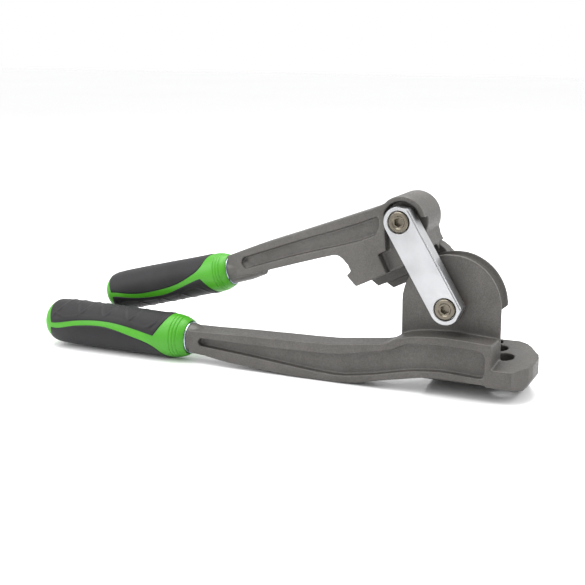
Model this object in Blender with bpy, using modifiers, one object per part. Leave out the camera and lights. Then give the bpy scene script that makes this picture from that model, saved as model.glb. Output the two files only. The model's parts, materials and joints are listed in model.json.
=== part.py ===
"""Lever-type 180 degree hand tube bender for 6, 8 and 10 mm tube.

Frame: X along the tool towards the hook, Y from the link side to the back, Z up from
the surface that the tool stands on.  Lengths are written in millimetres in the drawing
frame of the former (origin on the former axis at the front face of the link, V to the
back, W up) and placed with P() in metres.
"""
import bpy
import bmesh
import math
from mathutils import Vector, Matrix

# ------------------------------------------------------------------ driving dimensions
MM = 1.0                  # shapes are cut in millimetres and brought to metres at the end
FORMER_X = 96.07          # former axis from the middle of the tool
FORMER_Z = 42.17          # former axis above the ground
FRONT_Y = -14.845         # front face of the link
GAP = 0.3                 # clearance kept between touching pieces

R1, R2, R3 = 25.0, 20.0, 16.0            # bend radii to the tube centre line
TUBE1, TUBE2, TUBE3 = 10.0, 8.0, 6.4     # tube sizes of the three grooves
V_DISC = 9.3                             # front face of the former
V_G1, V_G2, V_G3 = 15.75, 26.2, 34.25     # groove centres
V_LIP1, V_LIP2, V_BACK = 22.0, 30.6, 38.5
V_HF, V_HB = -3.5, 10.6                  # frame handle front and back
V_UF, V_UB = 4.0, 28.5                   # lever head front and back
LAND = 1.2                               # former lip to shoe land
SINK = 0.3                               # tube centre line outside the lip radius

LINK_T = 6.4
LINK_W = 15.6
PIN_C = (-24.1, 40.4)                    # upper pivot from the former axis
HEAD_R, HEAD_BORE_R = 5.05, 5.4
SHOULDER_R, BUSH_RI, BUSH_RO, LINK_BORE_R = 3.0, 3.25, 4.1, 4.4
THREAD_R, THREAD_BORE_R = 2.6, 2.9

TN = math.radians(25.95)                 # direction of the shoe lands


# ------------------------------------------------------------------ placing
def P(x, v, w):
    return Vector(((x + FORMER_X) * MM, (v + FRONT_Y) * MM, (w + FORMER_Z) * MM))


def tn(t, n):
    """Point of the shoe frame: t along the lands, n away from the former."""
    return (math.cos(TN) * t - math.sin(TN) * n, math.sin(TN) * t + math.cos(TN) * n)


# ------------------------------------------------------------------ scene
for ob in list(bpy.data.objects):
    bpy.data.objects.remove(ob, do_unlink=True)
PARTS = bpy.data.collections.new("tube_bender")
CUTS = bpy.data.collections.new("tube_bender_cutters")
bpy.context.scene.collection.children.link(PARTS)
bpy.context.scene.collection.children.link(CUTS)


def material(name, colour, rough, metal):
    m = bpy.data.materials.new(name)
    m.use_nodes = True
    b = m.node_tree.nodes["Principled BSDF"]
    b.inputs["Base Color"].default_value = (*colour, 1.0)
    b.inputs["Roughness"].default_value = rough
    b.inputs["Metallic"].default_value = metal
    m.diffuse_color = (*colour, 1.0)
    return m


MATS = {
    "casting": material("casting_grey", (0.17, 0.165, 0.155), 0.55, 0.6),
    "plate": material("plated_plate", (0.82, 0.83, 0.85), 0.28, 1.0),
    "screw": material("nickel_screw", (0.50, 0.45, 0.38), 0.30, 1.0),
    "bronze": material("bronze_bush", (0.48, 0.33, 0.16), 0.40, 1.0),
    "tube": material("plated_tube", (0.62, 0.66, 0.70), 0.25, 1.0),
    "green": material("green_core", (0.09, 0.55, 0.035), 0.42, 0.0),
    "black": material("black_pad", (0.035, 0.034, 0.037), 0.60, 0.0),
}


def put(ob, where):
    for c in list(ob.users_collection):
        c.objects.unlink(ob)
    where.objects.link(ob)
    if where is CUTS:
        ob.hide_render = True
        ob.display_type = 'WIRE'
    return ob


def mesh_object(name, mesh, where, mat=None):
    ob = bpy.data.objects.new(name, mesh)
    put(ob, where)
    if mat is not None:
        mesh.materials.clear()
        mesh.materials.append(MATS[mat])
    return ob


def from_curve(cob, name, where, mat=None):
    """The evaluated mesh of a curve or modified object, welded, in world space."""
    bpy.context.view_layer.update()
    dg = bpy.context.evaluated_depsgraph_get()
    me = bpy.data.meshes.new_from_object(cob.evaluated_get(dg))
    me.transform(cob.matrix_world)
    bm = bmesh.new()
    bm.from_mesh(me)
    bmesh.ops.remove_doubles(bm, verts=bm.verts, dist=1e-4)
    bmesh.ops.recalc_face_normals(bm, faces=bm.faces)
    bm.to_mesh(me)
    bm.free()
    bpy.data.objects.remove(cob, do_unlink=True)
    me.name = name
    return mesh_object(name, me, where, mat)


def plate(name, pts, v0, v1, where=CUTS, mat=None):
    """A flat outline in X, W extruded from v0 to v1."""
    cu = bpy.data.curves.new(name, 'CURVE')
    cu.dimensions = '2D'
    cu.fill_mode = 'BOTH'
    cu.extrude = abs(v1 - v0) / 2 * MM
    sp = cu.splines.new('POLY')
    sp.points.add(len(pts) - 1)
    for i, (x, w) in enumerate(pts):
        sp.points[i].co = (x * MM, w * MM, 0, 1)
    sp.use_cyclic_u = True
    ob = bpy.data.objects.new(name, cu)
    put(ob, CUTS)
    ob.rotation_euler = (math.pi / 2, 0, 0)
    ob.location = P(0, (v0 + v1) / 2, 0)
    return from_curve(ob, name, where, mat)


def slab(name, pts, w0, w1, where=CUTS):
    """A flat outline in X, V extruded from w0 to w1."""
    cu = bpy.data.curves.new(name, 'CURVE')
    cu.dimensions = '2D'
    cu.fill_mode = 'BOTH'
    cu.extrude = abs(w1 - w0) / 2 * MM
    sp = cu.splines.new('POLY')
    sp.points.add(len(pts) - 1)
    for i, (x, v) in enumerate(pts):
        sp.points[i].co = (x * MM, v * MM, 0, 1)
    sp.use_cyclic_u = True
    ob = bpy.data.objects.new(name, cu)
    put(ob, CUTS)
    ob.location = P(0, 0, (w0 + w1) / 2)
    return from_curve(ob, name, where)


def end_plate(name, pts, x0, x1, where=CUTS):
    """A flat outline in V, W extruded from x0 to x1."""
    cu = bpy.data.curves.new(name, 'CURVE')
    cu.dimensions = '2D'
    cu.fill_mode = 'BOTH'
    cu.extrude = abs(x1 - x0) / 2 * MM
    sp = cu.splines.new('POLY')
    sp.points.add(len(pts) - 1)
    for i, (v, w) in enumerate(pts):
        sp.points[i].co = (v * MM, w * MM, 0, 1)
    sp.use_cyclic_u = True
    ob = bpy.data.objects.new(name, cu)
    put(ob, CUTS)
    ob.matrix_world = Matrix.Translation(P((x0 + x1) / 2, 0, 0)) @ Matrix(
        ((0, 0, 1, 0), (1, 0, 0, 0), (0, 1, 0, 0), (0, 0, 0, 1)))
    return from_curve(ob, name, where)


def turned(name, profile, origin, axis, where=CUTS, mat=None, steps=48, angle=360.0,
           start=0.0):
    """A profile of (radius, height) pairs, top to bottom, turned about an axis."""
    me = bpy.data.meshes.new(name)
    vs = [(r * MM * math.cos(start), r * MM * math.sin(start), h * MM) for r, h in profile]
    me.from_pydata(vs, [(i, i + 1) for i in range(len(vs) - 1)], [])
    ob = bpy.data.objects.new(name, me)
    put(ob, CUTS)
    z = Vector(axis).normalized()
    ob.matrix_world = Matrix.Translation(origin) @ z.to_track_quat('Z', 'Y').to_matrix().to_4x4()
    m = ob.modifiers.new("turn", 'SCREW')
    m.axis = 'Z'
    m.angle = math.radians(angle)
    m.steps = steps
    m.render_steps = steps
    m.use_merge_vertices = True
    m.merge_threshold = 1e-4
    return from_curve(ob, name, where, mat)


def rod(name, r, p0, p1, where=CUTS, mat=None, n=48, r2=None):
    """A straight round bar from p0 to p1."""
    bm = bmesh.new()
    d = p1 - p0
    bmesh.ops.create_cone(bm, cap_ends=True, segments=n, radius1=r * MM,
                          radius2=(r if r2 is None else r2) * MM, depth=d.length)
    rot = d.normalized().to_track_quat('Z', 'Y').to_matrix().to_4x4()
    bmesh.ops.transform(bm, matrix=Matrix.Translation((p0 + p1) / 2) @ rot, verts=bm.verts)
    me = bpy.data.meshes.new(name)
    bm.to_mesh(me)
    bm.free()
    return mesh_object(name, me, where, mat)


def box(name, lo, hi, where=CUTS, mat=None):
    bm = bmesh.new()
    a, b = P(*lo), P(*hi)
    bmesh.ops.create_cube(bm, size=1.0)
    bmesh.ops.scale(bm, vec=b - a, verts=bm.verts)
    bmesh.ops.translate(bm, vec=(a + b) / 2, verts=bm.verts)
    me = bpy.data.meshes.new(name)
    bm.to_mesh(me)
    bm.free()
    return mesh_object(name, me, where, mat)


def boolean(ob, other, how):
    m = ob.modifiers.new(how.lower(), 'BOOLEAN')
    m.operation = how
    m.solver = 'EXACT'
    m.object = other
    return m


def cut(ob, *others):
    for o in others:
        boolean(ob, o, 'DIFFERENCE')


def join(ob, *others):
    for o in others:
        boolean(ob, o, 'UNION')


def faults(bm):
    return sum(1 for e in bm.edges if len(e.link_faces) != 2)


def bake(ob, dist=0.002):
    """Applies the modifiers and welds stray points of the joins where that keeps it closed."""
    bpy.context.view_layer.update()
    dg = bpy.context.evaluated_depsgraph_get()
    me = bpy.data.meshes.new_from_object(ob.evaluated_get(dg))
    ob.modifiers.clear()
    raw = bmesh.new()
    raw.from_mesh(me)
    for d, tidy in ((dist, True), (dist, False), (0.0005, False), (0.00005, False)):
        bm = raw.copy()
        bmesh.ops.remove_doubles(bm, verts=bm.verts, dist=d * MM)
        if tidy:
            bmesh.ops.dissolve_degenerate(bm, edges=bm.edges, dist=d * MM)
        if faults(bm) == 0:
            bm.to_mesh(me)
            bm.free()
            break
        bm.free()
    raw.free()
    ob.data = me
    return ob


def bevel(ob, width, angle=40.0, segments=2):
    m = ob.modifiers.new("edge", 'BEVEL')
    m.width = width * MM
    m.segments = segments
    m.limit_method = 'ANGLE'
    m.angle_limit = math.radians(angle)
    m.use_clamp_overlap = True
    return m


def smooth(ob, angle=35.0):
    ob.data.shade_smooth()
    ob.data.set_sharp_from_angle(angle=math.radians(angle))


def arc(cx, cw, r, a0, a1, n):
    return [(cx + r * math.cos(math.radians(a0 + (a1 - a0) * i / n)),
             cw + r * math.sin(math.radians(a0 + (a1 - a0) * i / n))) for i in range(n + 1)]


def flow(pts, n=4):
    """A smooth line through a few guide points."""
    out = []
    q = [pts[0]] + list(pts) + [pts[-1]]
    for i in range(1, len(q) - 2):
        p0, p1, p2, p3 = q[i - 1], q[i], q[i + 1], q[i + 2]
        for k in range(n):
            s = k / n
            out.append(tuple(0.5 * ((2 * p1[j]) + (-p0[j] + p2[j]) * s
                                    + (2 * p0[j] - 5 * p1[j] + 4 * p2[j] - p3[j]) * s * s
                                    + (-p0[j] + 3 * p1[j] - 3 * p2[j] + p3[j]) * s ** 3)
                             for j in (0, 1)))
    out.append(pts[-1])
    return out


def tombstone(r, low, n=36):
    """Round top of radius r on the former axis with straight sides down to low."""
    return arc(0, 0, r, 0, 180, n) + [(-r, low), (r, low)]


def channel(name, r, minor, v, low):
    """Round bar bent half way round the former with a straight leg down each side."""
    cu = bpy.data.curves.new(name, 'CURVE')
    cu.dimensions = '3D'
    cu.bevel_depth = minor * MM
    cu.bevel_resolution = 2
    cu.use_fill_caps = True
    path = [(-r, -48.0)] + arc(0, 0, r, 180, 0, 18) + [(r, low)]
    sp = cu.splines.new('POLY')
    sp.points.add(len(path) - 1)
    for i, (x, w) in enumerate(path):
        sp.points[i].co = (*P(x, v, w), 1)
    ob = bpy.data.objects.new(name, cu)
    put(ob, CUTS)
    return from_curve(ob, name, CUTS)


# ================================================================== frame casting
HB = 42.1                       # ground below the former axis
top_edge = flow([(-139.4, -24.5), (-128, -24.3), (-106, -23.6), (-81, -23.1), (-60, -22.6),
                 (-48, -21.4), (-36, -20.1), (-29, -19.0), (-24.5, -16.8), (-19.5, -15.0),
                 (-12, -13.6), (0, -12.9), (12, -13.3), (24.4, -14.1)], 3)
low_edge = flow([(24.4, -34.3), (12, -33.8), (0, -33.5), (-10.3, -34.2), (-20.6, -36.2),
                 (-31, -38.2), (-44, -41.0), (-56, -42.05), (-73, -42.1), (-86, -41.5),
                 (-115, -39.5), (-130, -37.4), (-139.4, -36.6)], 3)
frame = plate("former_frame", top_edge + low_edge, V_HF, V_HB, PARTS, "casting")
bevel(frame, 1.1, 50, 1)
bake(frame)

# I-section pockets, front and back
pocket = flow([(-132.6, -28.2), (-98, -28.4), (-65, -28.2), (-52, -27.3), (-41, -25.4), (-31, -23.2),
               (-25.5, -21.9), (-21, -19.6), (-17, -18.2), (-8, -17.3), (2, -17.0), (12, -17.4),
               (18.0, -17.8)], 2) + [(20.4, -18.8), (21.2, -21.0), (21.2, -28.5), (20.4, -30.6)] \
    + flow([(18.0, -30.9), (8, -30.4), (0, -30.0), (-15.5, -31.4), (-31, -34.8), (-45, -37.3), (-56, -38.3),
            (-74, -37.2), (-98, -35.0), (-120, -33.2), (-132.6, -32.3)], 2) + [(-133.9, -30.3)]
p_front = plate("pocket_front", pocket, V_HF - 3, V_HF + 3.4)
p_back = plate("pocket_back", [p for p in pocket if p[0] < -31.5], V_HB - 3.4, V_HB + 3)
cut(frame, p_front)
bake(frame)
cut(frame, p_back)
bake(frame)

# the former: three stepped bodies with straight sides
low = -26.0
body1 = plate("former_step_1", tombstone(R1, low, 30), V_DISC, V_LIP1)
body2 = plate("former_step_2", tombstone(R2, low, 26), V_LIP1 - 1.0, V_LIP2)
body3 = plate("former_step_3", tombstone(R3, low, 24), V_LIP2 - 1.0, V_BACK)
join(body1, body2, body3)
# round-bottomed grooves that run on as straight seats through the hook
GROOVES = [channel("groove_%d" % (i + 1), r + SINK, d / 2, v, -60.0)
           for i, (r, d, v) in enumerate(((R1, TUBE1, V_G1), (R2, TUBE2, V_G2), (R3, TUBE3, V_G3)))]
# the back lip of the first groove stops where the hook side becomes straight
lip_end = plate("lip_end", [(R1 - 4.9, -3.9), (R1 + 1.5, 1.3), (R1 + 1.5, -24), (R1 - 4.9, -24)],
                V_G1 + 0.2, V_LIP1 + 0.1)
lip_end_2 = plate("lip_end_2", [(R2 - 3.9, -3.5), (R2 + 1.0, 0.5), (R2 + 1.0, -22), (R2 - 3.9, -22)],
                  V_G2 + 0.2, V_LIP2 + 0.05)
cut(body1, lip_end)
bake(body1)
cut(body1, lip_end_2)
bake(body1)

# foot and hook block: slanted top that rises to the back, underside that runs down to the back
foot = plate("hook_block",
             [(-14.0, -15.2), (24.6, -15.2), (36.6, -15.2), (41.0, -16.6), (45.2, -21.2), (46.4, -24.4), (45.9, -27.6),
                (41.6, -31.4), (33.6, -42.6), (33.6, -60.0), (-14.0, -60.0)], V_HF - 0.12, V_BACK + 0.14)
ground_cut = end_plate("foot_underside",
                       [(V_HF - 5, -34.8 + 1.25), (V_HF, -34.8), (27.5, -HB), (V_BACK + 5, -HB),
                        (V_BACK + 5, -80), (V_HF - 5, -80)], -40, 80)
slope_cut = end_plate("hook_top_slope",
                      [(V_HF - 5, -26.6), (V_HF, -26.1), (V_BACK + 5, -21.1), (V_BACK + 5, 10),
                       (V_HF - 5, 10)], -45, 80)
cut(foot, ground_cut)
bake(foot)
cut(foot, slope_cut)
bake(foot)
plan = slab("hook_plan", [(-30, 5.5), (21.9, 5.5), (22.1, -10), (33.9, -10), (34.2, -3.6), (35.4, -1.6), (40.2, 6.5), (41.3, 9.5), (41.5, 13),
                          (41.4, 20), (40.4, 23.5), (34.0, 33.5), (31.5, 36.2), (27.5, V_BACK + 0.2), (20, 50),
                          (-30, 50)], -90, 20)
boolean(foot, plan, 'INTERSECT')
bake(foot)
bevel(foot, 0.8, 25, 1)
bake(foot)
join(body1, foot)
bake(body1)
for groove in GROOVES:
    cut(body1, groove)
    bake(body1)
join(frame, body1)
bake(frame)

# round neck and tang on the grip axis
LG0 = P(-139.0, (V_HF + V_HB) / 2, -30.25)      # neck end of the grip axis
LG1 = P(-236.9, (V_HF + V_HB) / 2, -29.10)      # butt
LGD = (LG1 - LG0).normalized()


def along(o, d, s):
    return o + d * (s * MM)


neck = turned("lower_neck", [(0, 12.0), (6.6, 12.0), (6.6, 9.9), (7.9, 9.4), (7.9, 5.0), (8.0, 1.0),
                             (7.3, -2.2), (5.9, -4.6), (0, -4.6)],
              LG0, LGD, steps=20)
tang = rod("lower_tang", 6.6, along(LG0, LGD, 6), along(LG0, LGD, 79.5), n=20)
join(neck, tang)
bake(neck)
join(frame, neck)
bake(frame)
# pivot bore with a counterbore for the lock nut at the back
bore = rod("lower_pivot_bore", THREAD_BORE_R, P(0, 0, 0), P(0, 50, 0), n=20)
cbore = rod("lower_nut_bore", 6.2, P(0, 32.0, 0), P(0, 45, 0), n=24)
join(bore, cbore)
bake(bore)
cut(frame, bore)
bake(frame)
smooth(frame)

# ================================================================== lever casting
px, pw = PIN_C
lev_top = [(-127.6, 12.3), (-118.9, 15.9), (-106.9, 20.7), (-89.3, 27.0), (-66.6, 35.3), (-47.4, 42.4),
           (-39.4, 45.3), (-33.0, 48.4)]
head = arc(px, pw, 12.0, 128, -25, 18)
right = [tn(3.6, 36.2), tn(3.0, 33.6), tn(3.2, 31.0), tn(2.6, 29.2), tn(1.8, R1 + LAND + 0.9), tn(0.8, R1 + LAND)]
left = [tn(-40.4, R1 + LAND), tn(-43.2, 32.9), tn(-39.9, 34.2)]
lev_low = flow([(-52.6, 16.2), (-56.2, 19.3), (-59.4, 20.3), (-64, 19.3), (-80.6, 14.2), (-98.9, 8.4),
                (-112, 4.2), (-125.0, 0.1)], 3)
lever = plate("shoe_lever", lev_top + head + right + left + lev_low, V_UF, V_UB + 4.0, PARTS, "casting")
back_wedge = slab("lever_back_slope", [(60, V_UB), (-45, V_UB), (-160, V_UB + 4.4), (-160, 60), (60, 60)], -40, 90)
step_back = plate("shoe_step_back", [tn(-70, 10), tn(30, 10), tn(30, 30.6), tn(-70, 30.6)], V_LIP1 - 0.5, 60)
cut(lever, back_wedge)
bake(lever)
cut(lever, step_back)
bake(lever)
bevel(lever, 0.9, 50, 1)
bake(lever)
# second and third step of the shoe
s2 = plate("shoe_step_2", [tn(-36.9, R2 + LAND), tn(1.6, R2 + LAND), tn(4.4, R2 + LAND + 2.3), tn(4.2, 26.0),
                           tn(2.2, 29.5), tn(-1.3, 33.0), tn(-38.7, 32.6), tn(-39.6, R2 + LAND + 4.9)],
           V_LIP1 + 0.4, V_LIP2)
s3 = plate("shoe_step_3", [tn(-33.6, R3 + LAND), tn(1.4, R3 + LAND), tn(2.4, R3 + LAND + 1.2), tn(1.9, 23.7),
                           tn(-0.7, 27.4), tn(-2.0, 30.6), tn(-34.1, 30.6), tn(-35.8, R3 + LAND + 3.6)],
           V_LIP2 + 0.4, V_BACK)
web23 = plate("shoe_web", [tn(-34.9, R2 + LAND + 1.5), tn(-1.1, R2 + LAND + 1.5), tn(-2.9, 29.9),
                           tn(-33.3, 29.9)], V_LIP2 - 3.0, V_LIP2 + 3.0)
web12 = plate("shoe_web_2", [tn(-38.1, R1 + LAND + 1.5), tn(-0.4, R1 + LAND + 1.5), tn(-1.9, 31.9),
                             tn(-37.3, 31.9)], V_LIP1 - 3.0, V_LIP1 + 3.0)
join(s2, web23)
bake(s2)
join(s2, s3)
bake(s2)
join(s2, web12)
bake(s2)
join(lever, s2)
bake(lever)
# straight grooves of the shoe
for i, (r, d, v) in enumerate(((R1, TUBE1, V_G1), (R2, TUBE2, V_G2), (R3, TUBE3, V_G3))):
    a, b = tn(-70, r), tn(30, r)
    g = rod("shoe_groove_%d" % (i + 1), d / 2, P(a[0], v, a[1]), P(b[0], v, b[1]), n=20)
    cut(lever, g)
# the handle's front face runs back towards the grip
SL0, SLK = -43.0, 0.172


def slope_v(x, off=0.0):
    return V_UF + off + max(0.0, (SL0 - x) * SLK)


wedge = slab("lever_front_slope", [(60, V_UF + 0.06), (SL0, V_UF + 0.06), (-160, slope_v(-160, 0.06)), (-160, -20),
                                   (60, -20)], -40, 90)
cut(lever, wedge)
bake(lever)
# pocket of the handle, following the slope
pk = flow([(-117.0, 12.6), (-98, 19.5), (-77.7, 26.9), (-61.3, 32.4), (-47, 37.6), (-36.6, 41.8)], 2) \
    + [(-35.6, 40.4), (-35.6, 37.0), (-37.0, 32.8)] \
    + flow([(-47.0, 28.6), (-61.3, 24.2), (-77.7, 19.4), (-98, 12.8), (-115.6, 6.8)], 2) + [(-118.2, 9.6)]
pk_prism = plate("lever_pocket", pk, -20, 60)
pk_wedge = slab("lever_pocket_floor", [(0, V_UF + 3.0), (SL0, V_UF + 3.0), (-160, slope_v(-160, 3.0)), (-160, -25), (0, -25)],
                -50, 95)
boolean(pk_prism, pk_wedge, 'INTERSECT')
bake(pk_prism)
pk_back = plate("lever_pocket_back", [p for p in pk if p[0] < -47], V_UB - 1.2, V_UB + 14)
cut(lever, pk_prism, pk_back)
bake(lever)
# room for the link: a round recess and the lowered face below it
rec = plate("link_recess", arc(px, pw, 9.6, 14, 160, 14)
            + [tn(-17.5, 36.6), tn(-22.2, 36.6), tn(-21.6, 10.0), tn(30.0, 10.0), (px + 22, pw + 4.0)],
            -20, V_DISC - 0.2)
cut(lever, rec)
bake(lever)
# neck and tang
V_UG = 24.5
UG0 = P(-124.9, V_UG, 4.3)
UG1 = P(-208.4, V_UG, -17.1)
UGD = (UG1 - UG0).normalized()
uneck = turned("upper_neck", [(0, 12.0), (6.0, 12.0), (6.0, 8.9), (7.1, 8.4), (7.1, 4.0), (7.2, -2.0),
                              (6.9, -9.0), (5.6, -17.0), (0, -17.0)],
               UG0, UGD, steps=20)
utang = rod("upper_tang", 6.0, along(UG0, UGD, 6), along(UG0, UGD, 70.7), n=20)
join(uneck, utang)
bake(uneck)
join(lever, uneck)
bake(lever)
ubore = rod("upper_pivot_bore", THREAD_BORE_R, P(px, -5, pw), P(px, 50, pw), n=20)
ucb = rod("upper_nut_bore", 6.2, P(px, 22.2, pw), P(px, 45, pw), n=24)
join(ubore, ucb)
bake(ubore)
cut(lever, ubore)
bake(lever)
smooth(lever)

# ================================================================== link plate
lx, lw = px / math.hypot(px, pw), pw / math.hypot(px, pw)
la = math.degrees(math.atan2(pw, px))
hw = LINK_W / 2
lp = arc(0, 0, hw, la + 90, la + 270, 16) + arc(px, pw, hw, la - 90, la + 90, 16)
link = plate("link_plate", lp, 0, LINK_T, PARTS, "plate")
bevel(link, 0.45, 50, 1)
bake(link)
for nm, (cx, cw) in (("lower", (0, 0)), ("upper", (px, pw))):
    lb = rod("link_bore_" + nm, LINK_BORE_R, P(cx, -5, cw), P(cx, 12, cw), n=24)
    lc = rod("link_counterbore_" + nm, HEAD_BORE_R, P(cx, -5, cw), P(cx, 2.5, cw), n=24)
    join(lb, lc)
    bake(lb)
    cut(link, lb)
bake(link)
smooth(link)

# ================================================================== pivots
for nm, (cx, cw), v_end, v_nut in (("lower", (0, 0), 38.0, 32.0), ("upper", (px, pw), 28.2, 22.2)):
    o = P(cx, 0, cw)
    # heights run along -Y (towards the front), so a height h is at V = -h
    screw = turned(nm + "_pivot_screw",
                   [(0, 0.35), (HEAD_R - 0.5, 0.35), (HEAD_R, -0.15), (HEAD_R, -2.2), (SHOULDER_R, -2.2),
                    (SHOULDER_R, -(V_DISC - 0.3)), (THREAD_R, -(V_DISC - 0.3)), (THREAD_R, -v_end + 0.5),
                    (THREAD_R - 0.5, -v_end), (0, -v_end)],
                   o, (0, -1, 0), PARTS, "screw", steps=20)
    hexs = rod(nm + "_hex_socket", 2.0 / math.cos(math.pi / 6), P(cx, -3, cw), P(cx, 1.6, cw), n=6)
    cut(screw, hexs)
    bake(screw)
    smooth(screw)
    bush = turned(nm + "_pivot_bush",
                  [(BUSH_RI, -2.8), (BUSH_RO, -2.8), (BUSH_RO, -6.1), (BUSH_RI, -6.1), (BUSH_RI, -2.8)],
                  o, (0, -1, 0), PARTS, "bronze", steps=20)
    smooth(bush)
    w1 = -(LINK_T + GAP)
    w2 = -(V_DISC - 0.3 - (0.0 if nm == "lower" else 0.2))
    wash = turned(nm + "_thrust_washer",
                  [(BUSH_RI, w1), (6.6, w1), (6.6, w2), (BUSH_RI, w2), (BUSH_RI, w1)],
                  o, (0, -1, 0), PARTS, "bronze", steps=20)
    smooth(wash)
    flat = turned(nm + "_nut_washer",
                  [(2.85, -(v_nut + 0.3)), (5.0, -(v_nut + 0.3)), (5.0, -(v_nut + 1.3)), (2.85, -(v_nut + 1.3)),
                   (2.85, -(v_nut + 0.3))], o, (0, -1, 0), PARTS, "plate", steps=18)
    smooth(flat)
    nut = rod(nm + "_lock_nut", 4.9, P(cx, v_nut + 1.6, cw), P(cx, v_nut + 5.2, cw), PARTS, "plate", n=6)
    nh = rod(nm + "_nut_hole", 2.85, P(cx, v_nut, cw), P(cx, v_nut + 8, cw), n=18)
    cut(nut, nh)
    bake(nut)
    smooth(nut)


# ================================================================== grips
def grip(nm, o, d, k, total, r_tube, r_tube_in):
    """Plated tube on the tang, green core with collar and stripes, two black pads."""
    tube = turned(nm + "_handle_tube",
                  [(r_tube_in, 80 * k), (r_tube, 80 * k), (r_tube, 9.95 if nm == "lower" else 8.95),
                   (r_tube_in, 9.95 if nm == "lower" else 8.95), (r_tube_in, 80 * k)],
                  o, d, PARTS, "tube", steps=24)
    smooth(tube)
    prof = [(9.0, 2.6), (10.6, 5.6), (11.75, 11.5), (11.6, 20), (12.2, 42), (12.5, 70), (12.3, 84),
            (11.3, 91.5), (8.6, 96.4), (4.0, 98.0)]
    prof = [(r * k, s * total / 98.0) for r, s in prof]
    ri = r_tube + 0.3
    end = 80 * k + 0.6
    outer = list(reversed(prof))
    core = turned(nm + "_grip_core",
                  [(0, total)] + outer + [(ri, prof[0][1]), (ri, end), (0, end)],
                  o, d, PARTS, "green", steps=28)
    # pad seats: one above and one below, each 150 degrees round
    seat_prof = [(r, s) for r, s in prof if 16 * total / 98 <= s <= 93 * total / 98]
    seat_prof = list(reversed(seat_prof))
    side = Vector((0, 1, 0))
    zq = d.to_track_quat('Z', 'Y').to_matrix()
    for tag, sign in (("finger", 1 if nm == "lower" else -1), ("palm", -1 if nm == "lower" else 1)):
        mid = zq.inverted() @ Vector((0, 0, sign))
        a_mid = math.atan2(mid.y, mid.x)
        for kind, grow, thick, spread in (("seat", 0.6, 2.5, 152.0), ("pad", 0.0, 1.6, 148.5)):
            pts = [(r + grow, s) for r, s in seat_prof]
            if kind == "pad":
                pts = [(r, s - 0.3 if i == 0 else (s + 0.3 if i == len(seat_prof) - 1 else s))
                       for i, (r, s) in enumerate(seat_prof)]
            name = "%s_%s_%s" % (nm, tag, kind)
            me = bpy.data.meshes.new(name)
            a0 = a_mid - math.radians(spread / 2)
            me.from_pydata([(r * MM * math.cos(a0), r * MM * math.sin(a0), s * MM) for r, s in pts],
                           [(i, i + 1) for i in range(len(pts) - 1)], [])
            ob = bpy.data.objects.new(name, me)
            put(ob, CUTS)
            ob.matrix_world = Matrix.Translation(o) @ zq.to_4x4()
            m = ob.modifiers.new("turn", 'SCREW')
            m.axis = 'Z'
            m.angle = math.radians(spread)
            m.steps = 10
            m.render_steps = 10
            m.use_merge_vertices = False
            sol = ob.modifiers.new("wall", 'SOLIDIFY')
            sol.thickness = (thick + grow) * MM
            sol.offset = -1.0
            ob2 = from_curve(ob, name, CUTS if kind == "seat" else PARTS, None if kind == "seat" else "black")
            if kind == "seat":
                cut(core, ob2)
            else:
                smooth(ob2)
    bake(core)
    smooth(core)


grip("lower", LG0, LGD, 1.0, 94.6, 8.3, 6.95)
grip("upper", UG0, UGD, 0.89, 84.2, 7.4, 6.35)

# to metres
for ob in list(PARTS.objects) + list(CUTS.objects):
    ob.data.transform(Matrix.Scale(0.001, 4))
for ob in PARTS.objects:
    ob.data.name = ob.name

# hinge axes: the link swings about the former's axis, the lever about the link's far end
swing = bpy.data.objects.new("link_swing", None)
swing.location = P(0, 0, 0) * 0.001
pivot = bpy.data.objects.new("lever_pivot", None)
pivot.location = P(-24.1, 0, 40.4) * 0.001
for axis in (swing, pivot):
    axis.empty_display_size = 0.02
    PARTS.objects.link(axis)
bpy.context.view_layer.update()
LINK = ("link_plate", "lower_pivot_bush", "upper_pivot_bush")
for ob in list(PARTS.objects):
    if ob.type != 'MESH':
        continue
    axis = None
    if ob.name in LINK:
        axis = swing
    elif ob.name == "shoe_lever" or ob.name.startswith("upper_"):
        axis = pivot
    if axis:
        ob.parent = axis
        ob.matrix_parent_inverse = axis.matrix_world.inverted()
pivot.parent = swing
pivot.matrix_parent_inverse = swing.matrix_world.inverted()
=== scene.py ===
"""Looks of the three-size lever tube bender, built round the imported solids."""
import bpy
import bmesh
import math
import json
from mathutils import Vector, Matrix

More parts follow.
